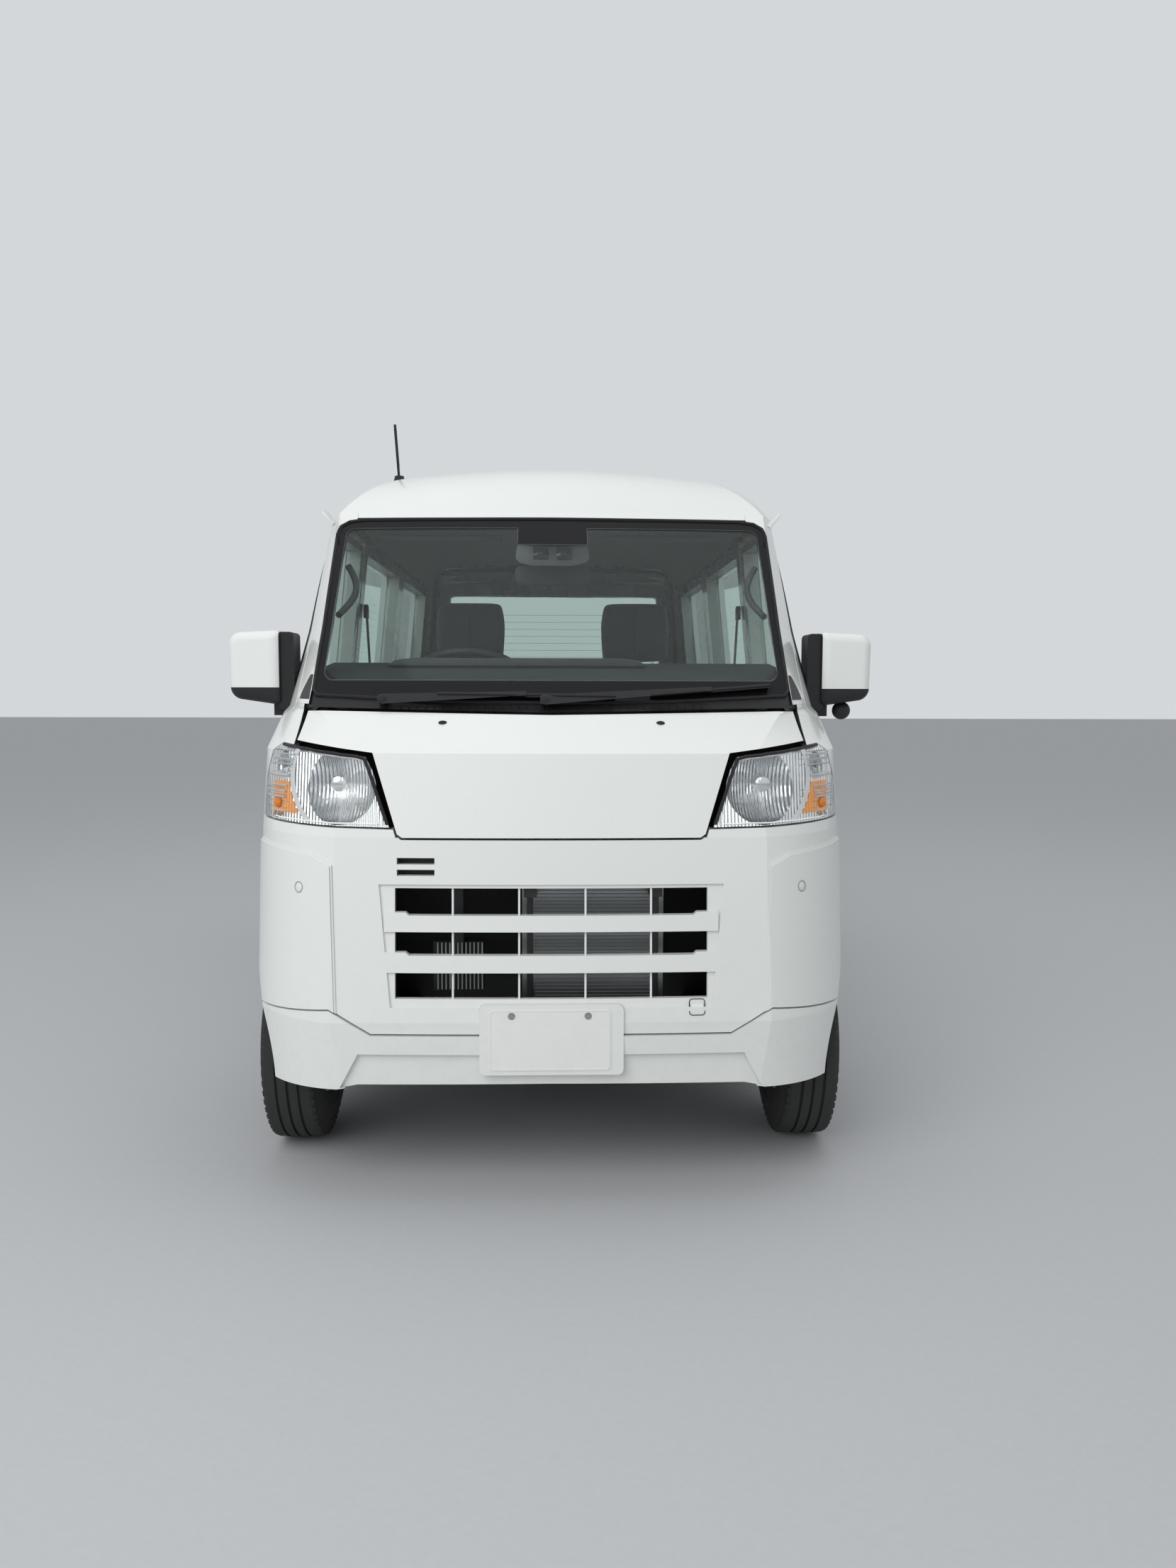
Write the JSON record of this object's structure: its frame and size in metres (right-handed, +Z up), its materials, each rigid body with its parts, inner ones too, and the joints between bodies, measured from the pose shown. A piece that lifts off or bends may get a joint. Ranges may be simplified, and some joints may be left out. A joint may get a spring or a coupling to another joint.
{
  "type": "kei cargo van",
  "caption": "High-roofed kei cargo van with hinged front doors, bonnet and tailgate, steered front wheels and rolling wheels.",
  "frame": {"origin": "on the ground under the middle of the van's length and width", "axes": "+Z up, +Y towards the tail, +X to the vehicle's left; the nose faces -Y"},
  "size_m": [1.7484, 3.391, 2.0008],
  "materials": {
    "white_paint": "gloss white body paint",
    "white_bumper": "gloss white painted plastic",
    "mirror_shell": "gloss white cap over a black housing",
    "black_plastic": "grained black plastic",
    "dash_plastic": "grained dark grey plastic",
    "tank_plastic": "black moulded tank",
    "screen_glass": "lightly tinted laminated glass",
    "side_glass": "tinted tempered glass",
    "lamp_lens": "clear moulded lens",
    "lamp_chrome": "vacuum-metallised reflector",
    "tail_lens": "red, amber and clear lens",
    "body_primer": "matt light grey floor paint",
    "chassis_black": "satin black underbody paint",
    "radiator_alloy": "dull finned alloy",
    "cast_iron": "rough cast iron",
    "driveline_steel": "dull machined steel",
    "exhaust_steel": "dull aluminised steel",
    "seat_cloth": "dark grey woven cloth",
    "tyre_rubber": "black rubber",
    "rim_silver": "silver painted pressed steel"
  },
  "bodies": {
    "body": {"body_sides": "white_paint", "bumper_face": "white_bumper", "bumper_skirt": "white_bumper", "headlamps": "lamp_chrome", "headlamp_lenses": "lamp_lens", "fenders": "white_paint", "windshield": "screen_glass", "roof": "white_paint", "sliding_doors": "white_paint", "side_glass": "side_glass", "tail_lamps": "tail_lens", "rear_bumper": "white_bumper", "cowl_cover": "black_plastic", "wipers": "black_plastic", "floor_pan": "body_primer", "underframe": "chassis_black", "front_structure": "chassis_black", "radiator": "radiator_alloy", "horn": "black_plastic", "engine": "cast_iron", "driveline": "driveline_steel", "front_drive": "driveline_steel", "fuel_tank": "tank_plastic", "exhaust": "exhaust_steel", "rear_axle": "chassis_black", "lower_arms": "chassis_black", "dashboard": "dash_plastic", "seat_cushions": "seat_cloth", "seat_backs": "seat_cloth", "aerial": "black_plastic"},
    "bonnet": {"bonnet": "white_paint"},
    "tailgate": {"tailgate": "white_paint", "tailgate_glass": "side_glass"},
    "steering_wheel": {"steering_wheel": "dash_plastic"},
    "door_left": {"door_left": "white_paint", "door_glass_left": "side_glass", "mirror_left": "mirror_shell"},
    "knuckle_left": {"knuckle_left": "cast_iron"},
    "door_right": {"door_right": "white_paint", "door_glass_right": "side_glass", "mirror_right": "mirror_shell"},
    "knuckle_right": {"knuckle_right": "cast_iron"},
    "wheel_front_left": {"tyre_front_left": "tyre_rubber", "rim_front_left": "rim_silver"},
    "wheel_front_right": {"tyre_front_right": "tyre_rubber", "rim_front_right": "rim_silver"},
    "wheel_rear_left": {"tyre_rear_left": "tyre_rubber", "rim_rear_left": "rim_silver"},
    "wheel_rear_right": {"tyre_rear_right": "tyre_rubber", "rim_rear_right": "rim_silver"}
  },
  "joints": [
    {"name": "door_left_hinge", "type": "hinge", "parent": "body", "child": "door_left", "pos_m": [0.733, -1.2665, 0.7], "axis": [0, 0, -1], "range_deg": [0, 68]},
    {"name": "door_right_hinge", "type": "hinge", "parent": "body", "child": "door_right", "pos_m": [-0.733, -1.2665, 0.7], "axis": [0, 0, 1], "range_deg": [0, 68]},
    {"name": "tailgate_hinge", "type": "hinge", "parent": "body", "child": "tailgate", "pos_m": [0, 1.6015, 1.766], "axis": [1, 0, 0], "range_deg": [0, 85]},
    {"name": "bonnet_hinge", "type": "hinge", "parent": "body", "child": "bonnet", "pos_m": [0, -1.3675, 1.172], "axis": [-1, 0, 0], "range_deg": [0, 60]},
    {"name": "steering", "type": "hinge", "parent": "body", "child": "steering_wheel", "pos_m": [-0.25, -0.7595, 1.176], "axis": [0, 0.6428, 0.766], "range_deg": [-525, 525]},
    {"name": "kingpin_left", "type": "hinge", "parent": "body", "child": "knuckle_left", "pos_m": [0.6, -1.2375, 0.192], "axis": [-0.1702, 0, 0.9854], "range_deg": [-35, 35]},
    {"name": "kingpin_right", "type": "hinge", "parent": "body", "child": "knuckle_right", "pos_m": [-0.6, -1.2375, 0.192], "axis": [0.1702, 0, 0.9854], "range_deg": [-35, 35]},
    {"name": "spin_front_left", "type": "hinge", "parent": "knuckle_left", "child": "wheel_front_left", "pos_m": [0.6525, -1.2375, 0.268], "axis": [1, 0, 0], "continuous": true},
    {"name": "spin_front_right", "type": "hinge", "parent": "knuckle_right", "child": "wheel_front_right", "pos_m": [-0.6525, -1.2375, 0.268], "axis": [1, 0, 0], "continuous": true},
    {"name": "spin_rear_left", "type": "hinge", "parent": "body", "child": "wheel_rear_left", "pos_m": [0.65, 1.2125, 0.268], "axis": [1, 0, 0], "continuous": true},
    {"name": "spin_rear_right", "type": "hinge", "parent": "body", "child": "wheel_rear_right", "pos_m": [-0.65, 1.2125, 0.268], "axis": [1, 0, 0], "continuous": true}
  ],
  "couplings": [
    {"joint": "kingpin_left", "follows": "steering", "ratio": 0.066667},
    {"joint": "kingpin_right", "follows": "steering", "ratio": 0.066667}
  ]
}
